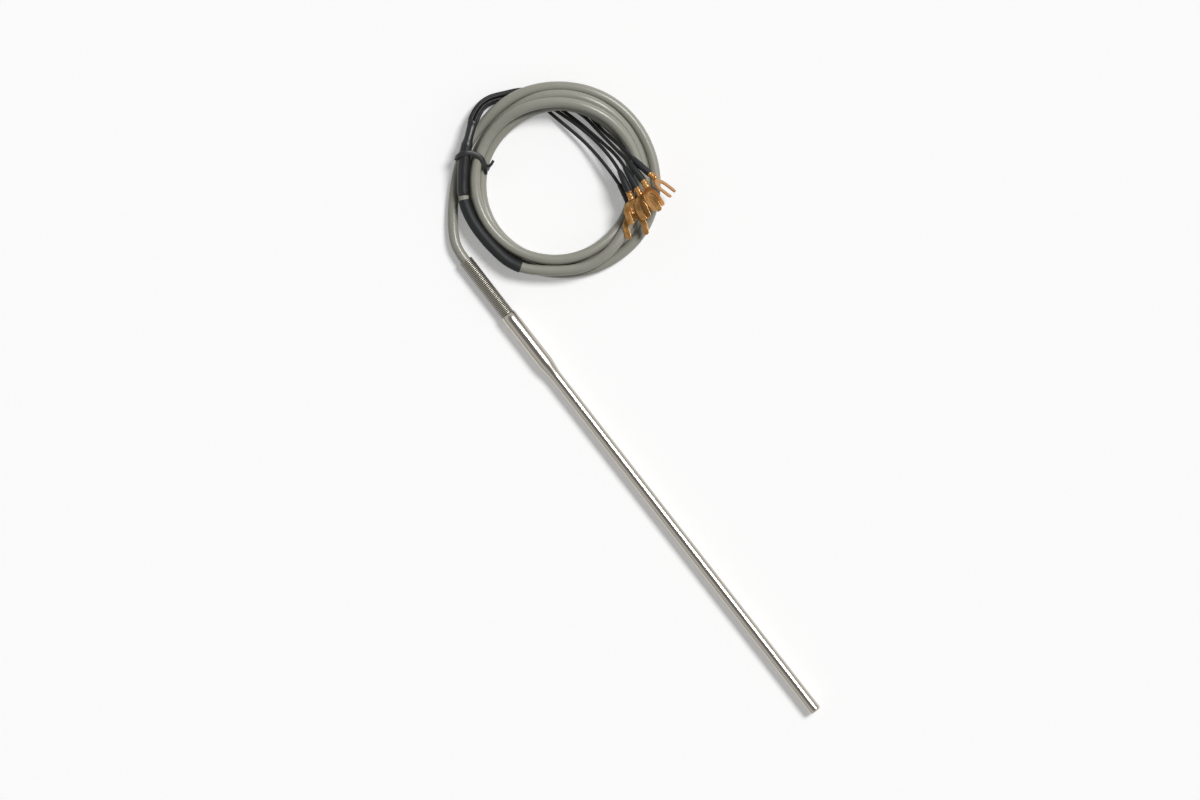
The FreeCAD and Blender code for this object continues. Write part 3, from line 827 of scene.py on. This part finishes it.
# %% Finish the inner pieces
potting = finish("potting", (0.5, 0.46, 0.38), 0.6)
liner_white = finish("liner", (0.85, 0.85, 0.82), 0.45)
tinned = finish("tinned_wire", (0.75, 0.75, 0.74), 0.25, metallic=1.0)
bead_glass = finish("bead_glass", (0.62, 0.36, 0.2), 0.1)
CORE_WIRES = 4
INNER = {"cable_stub": jacket, "rear_seal": potting, "tip_filler": potting, "core_liner": liner_white,
         "lead_splices": tinned, "bead_leads": tinned, "thermistor_bead": bead_glass}
for number in range(1, CORE_WIRES + 1):
    INNER["core_wire_%d" % number] = liner_white
for name, material in INNER.items():
    mesh = nodes[name].data
    if mesh.materials:
        mesh.materials[0] = material
    else:
        mesh.materials.append(material)
print("CAD nodes with a new finish:", len(INNER))

# %% [markdown]
# ## Tie
# A thin black tie holds the passes together. A bevelled curve would make it round like a wire, and it is
# a flat band. So it is swept along a closed line, which slants a little to either side of the upright
# plane that crosses the bundle, round the places where cable and sleeve pass through that plane. Its two
# short ends are small curves.

# %% Tie the bundle
TIE_ANGLE = math.radians(215.2)
TIE_HALF_WIDTH = 1.3 * MM
TIE_HALF_THICKNESS = 0.36 * MM
TIE_SIDES = 14
# reach from the coil's centre, height, and slant along the bundle, in millimetres
TIE_LOOP = [
    (36.6, 0.36, 1.2), (41.8, 0.34, 0.4), (46.8, 0.36, 0.8), (49.6, 1.0, 2.0), (50.6, 3.4, 2.6),
    (50.6, 8.6, 2.6), (49.6, 11.4, 1.8), (46.9, 12.65, -0.6), (43.9, 12.1, -1.5), (41.5, 11.4, -1.5),
    (39.6, 11.0, -1.2), (37.2, 10.2, 0.2), (35.6, 8.2, 2.2), (33.9, 5.0, 3.0), (33.5, 2.6, 2.6),
    (34.4, 0.8, 1.8),
]
tie_black = finish("tie_black", (0.02, 0.02, 0.02), 0.45)


def in_tie_plane(reach, height, along):
    c, s = math.cos(TIE_ANGLE), math.sin(TIE_ANGLE)
    return at(COIL_X + reach * c - along * s, COIL_Y + reach * s + along * c, height)


def band(name, line):
    """A closed flat band along a ring of points, its broad side facing outwards."""
    across = Vector((-math.sin(TIE_ANGLE), math.cos(TIE_ANGLE), 0))
    points, faces, count = [], [], len(line)
    for i, point in enumerate(line):
        ahead = (line[(i + 1) % count] - line[i - 1]).normalized()
        out = ahead.cross(across).normalized()
        wide_way = out.cross(ahead)
        for j in range(TIE_SIDES):
            a = 2 * math.pi * j / TIE_SIDES
            wide = wide_way * (TIE_HALF_WIDTH * math.cos(a))
            points.append(point + wide + out * (TIE_HALF_THICKNESS * math.sin(a)))
    for i in range(count):
        for j in range(TIE_SIDES):
            k, n = (j + 1) % TIE_SIDES, (i + 1) % count
            faces.append((i * TIE_SIDES + j, i * TIE_SIDES + k, n * TIE_SIDES + k, n * TIE_SIDES + j))
    return link(name, smooth_mesh(name, points, faces))


tie = band("tie_band", line_of([in_tie_plane(*p) for p in TIE_LOOP], cyclic=True))
finish_piece(tie, tie_black, "tie_band", "coil_tie")
print("tie loop with", len(TIE_LOOP), "control points")

# %% The ends of the tie
TIE_END_R = 0.7 * MM
TIE_END_RESOLUTION = 6
TIE_ENDS = [
    [(35.9, 8.2, 2.2), (34.9, 7.4, 3.4), (34.4, 6.2, 4.6), (34.2, 5.4, 5.6)],
    [(33.9, 6.4, 2.2), (33.2, 6.8, 1.0), (32.8, 7.0, -0.3), (32.6, 7.0, -1.4)],
]
for number, points in enumerate(TIE_ENDS, 1):
    end = nurbs("tie_end_%d" % number, [in_tie_plane(*p) for p in points], TIE_END_R, TIE_END_RESOLUTION)
    finish_piece(end, tie_black, "tie_band")

# %% [markdown]
# ## Cords
# The cable and its leads can bend on the real probe. This script only counts them.

print("cords:", 1 + len(leads))

# %% [markdown]
# ## Table
# The probe lies on a nearly white table. More light would whiten the table but bleach the cable too. So
# the table shows a little extra white to the camera, the metal and the glass alone, by the kind of ray
# that reaches it, and keeps the part's shadow.

# %% Lay the table
FLOOR_HALF = 3.0
FLOOR_GLOW = 0.25
FLOOR_CORNERS = [(-1, -1), (1, -1), (1, 1), (-1, 1)]


def seen_rays(tree):
    """A value of 1 for what the camera, metal and glass see, and 0 for the light on the part."""
    path = tree.nodes.new("ShaderNodeLightPath")
    seen = path.outputs["Is Camera Ray"]
    for ray in ("Is Glossy Ray", "Is Transmission Ray"):
        either = tree.nodes.new("ShaderNodeMath")
        either.operation = "MAXIMUM"
        tree.links.new(seen, either.inputs[0])
        tree.links.new(path.outputs[ray], either.inputs[1])
        seen = either.outputs[0]
    return seen


def show_extra_white(material, strength):
    tree = material.node_tree
    level = tree.nodes.new("ShaderNodeMapRange")
    level.inputs["To Max"].default_value = strength
    tree.links.new(seen_rays(tree), level.inputs["Value"])
    shader = tree.nodes["Principled BSDF"]
    shader.inputs["Emission Color"].default_value = (1, 1, 1, 1)
    tree.links.new(level.outputs["Result"], shader.inputs["Emission Strength"])


floor_paint = finish("floor_paint", (0.9, 0.9, 0.9), 0.9)
show_extra_white(floor_paint, FLOOR_GLOW)
floor_mesh = bpy.data.meshes.new("floor")
floor_mesh.from_pydata([(x * FLOOR_HALF, y * FLOOR_HALF, 0) for x, y in FLOOR_CORNERS], [], [(0, 1, 2, 3)])
floor_mesh.materials.append(floor_paint)
floor = link("floor", floor_mesh)
print("table:", 2 * FLOOR_HALF, "m wide")

# %% [markdown]
# ## Light
# The surround is a pale dome, dim straight overhead and at the horizon. An even one would be simpler, but
# round tubes would look flat under it: this one gives them a darker middle and edges. Only a share of it
# lights the part, because a soft key light from the photograph's upper right does most of the work.

# %% Surround
OVERHEAD, AROUND, HORIZON = 0.2, 0.69, 0.35
FILL = 0.36
OVERHEAD_FROM, OVERHEAD_TO = 0.69, 0.96
HORIZON_TO = 0.4
scene = bpy.context.scene
scene.view_settings.view_transform = "Standard"
world = bpy.data.worlds.new("surround")
scene.world = world
world.use_nodes = True


def ease_height(tree, height, low, high, at_low, at_high):
    """A strength that changes smoothly between two heights, 0 at the horizon and 1 overhead."""
    ease = tree.nodes.new("ShaderNodeMapRange")
    ease.interpolation_type = "SMOOTHSTEP"
    for name, value in (("From Min", low), ("From Max", high), ("To Min", at_low), ("To Max", at_high)):
        ease.inputs[name].default_value = value
    tree.links.new(height, ease.inputs["Value"])
    return ease.outputs["Result"]


def multiply(tree, first, second):
    """The product of two outputs of a node tree."""
    product = tree.nodes.new("ShaderNodeMath")
    product.operation = "MULTIPLY"
    tree.links.new(first, product.inputs[0])
    tree.links.new(second, product.inputs[1])
    return product.outputs[0]


def light_surround(tree):
    coords = tree.nodes.new("ShaderNodeTexCoord")
    split = tree.nodes.new("ShaderNodeSeparateXYZ")
    tree.links.new(coords.outputs["Generated"], split.inputs[0])
    height = split.outputs["Z"]
    upper = ease_height(tree, height, OVERHEAD_FROM, OVERHEAD_TO, AROUND, OVERHEAD)
    lower = ease_height(tree, height, 0.0, HORIZON_TO, HORIZON, 1.0)
    share = tree.nodes.new("ShaderNodeMapRange")
    share.inputs["To Min"].default_value = FILL
    tree.links.new(seen_rays(tree), share.inputs["Value"])
    level = multiply(tree, multiply(tree, upper, lower), share.outputs["Result"])
    background = tree.nodes["Background"]
    background.inputs["Color"].default_value = (1, 1, 1, 1)
    tree.links.new(level, background.inputs["Strength"])


light_surround(world.node_tree)
print("surround: strength", AROUND, "around,", OVERHEAD, "overhead")

# %% Key light
KEY_ENERGY = 2.33
KEY_SOFTNESS = math.radians(20)
KEY_RIGHT, KEY_UP, KEY_HEIGHT = 0.465, 0.36, 0.809
photo_turn = math.radians(PHOTO_TURN)
photo_right = Vector((math.cos(photo_turn), math.sin(photo_turn), 0))
photo_up = Vector((-math.sin(photo_turn), math.cos(photo_turn), 0))
key_from = photo_right * KEY_RIGHT + photo_up * KEY_UP + Vector((0, 0, KEY_HEIGHT))
key_data = bpy.data.lights.new("key", "SUN")
key_data.energy = KEY_ENERGY
key_data.angle = KEY_SOFTNESS
key = link("key", key_data)
key.location = key_from
key.rotation_euler = (-key_from).to_track_quat("-Z", "Y").to_euler()
print("key light", round(math.degrees(key_from.angle(Vector((0, 0, 1))))), "degrees from overhead")

# %% [markdown]
# ## Camera
# The camera looks straight down and is turned so that the probe points to the lower right, as in the
# photograph. It stands far off with a long lens, which keeps the near parts from looking larger.

# %% Camera
VIEW_AHEAD = 59.7 * MM
VIEW_ASIDE = 9.9 * MM
DISTANCE = 2.2
PHOTO_WIDTH = 1200
SENSOR = 36.0
CLIP_END = 20.0
camera_data = bpy.data.cameras.new("camera")
camera_data.sensor_width = SENSOR
camera_data.lens = SENSOR * DISTANCE / (PHOTO_WIDTH * MM_PER_PIXEL * MM)
camera_data.clip_end = CLIP_END
camera = link("camera", camera_data)
camera.location = (joint_x + VIEW_AHEAD, VIEW_ASIDE, DISTANCE)
camera.rotation_euler = (0, 0, photo_turn)
scene.camera = camera
print("camera lens", round(camera_data.lens, 1), "mm")
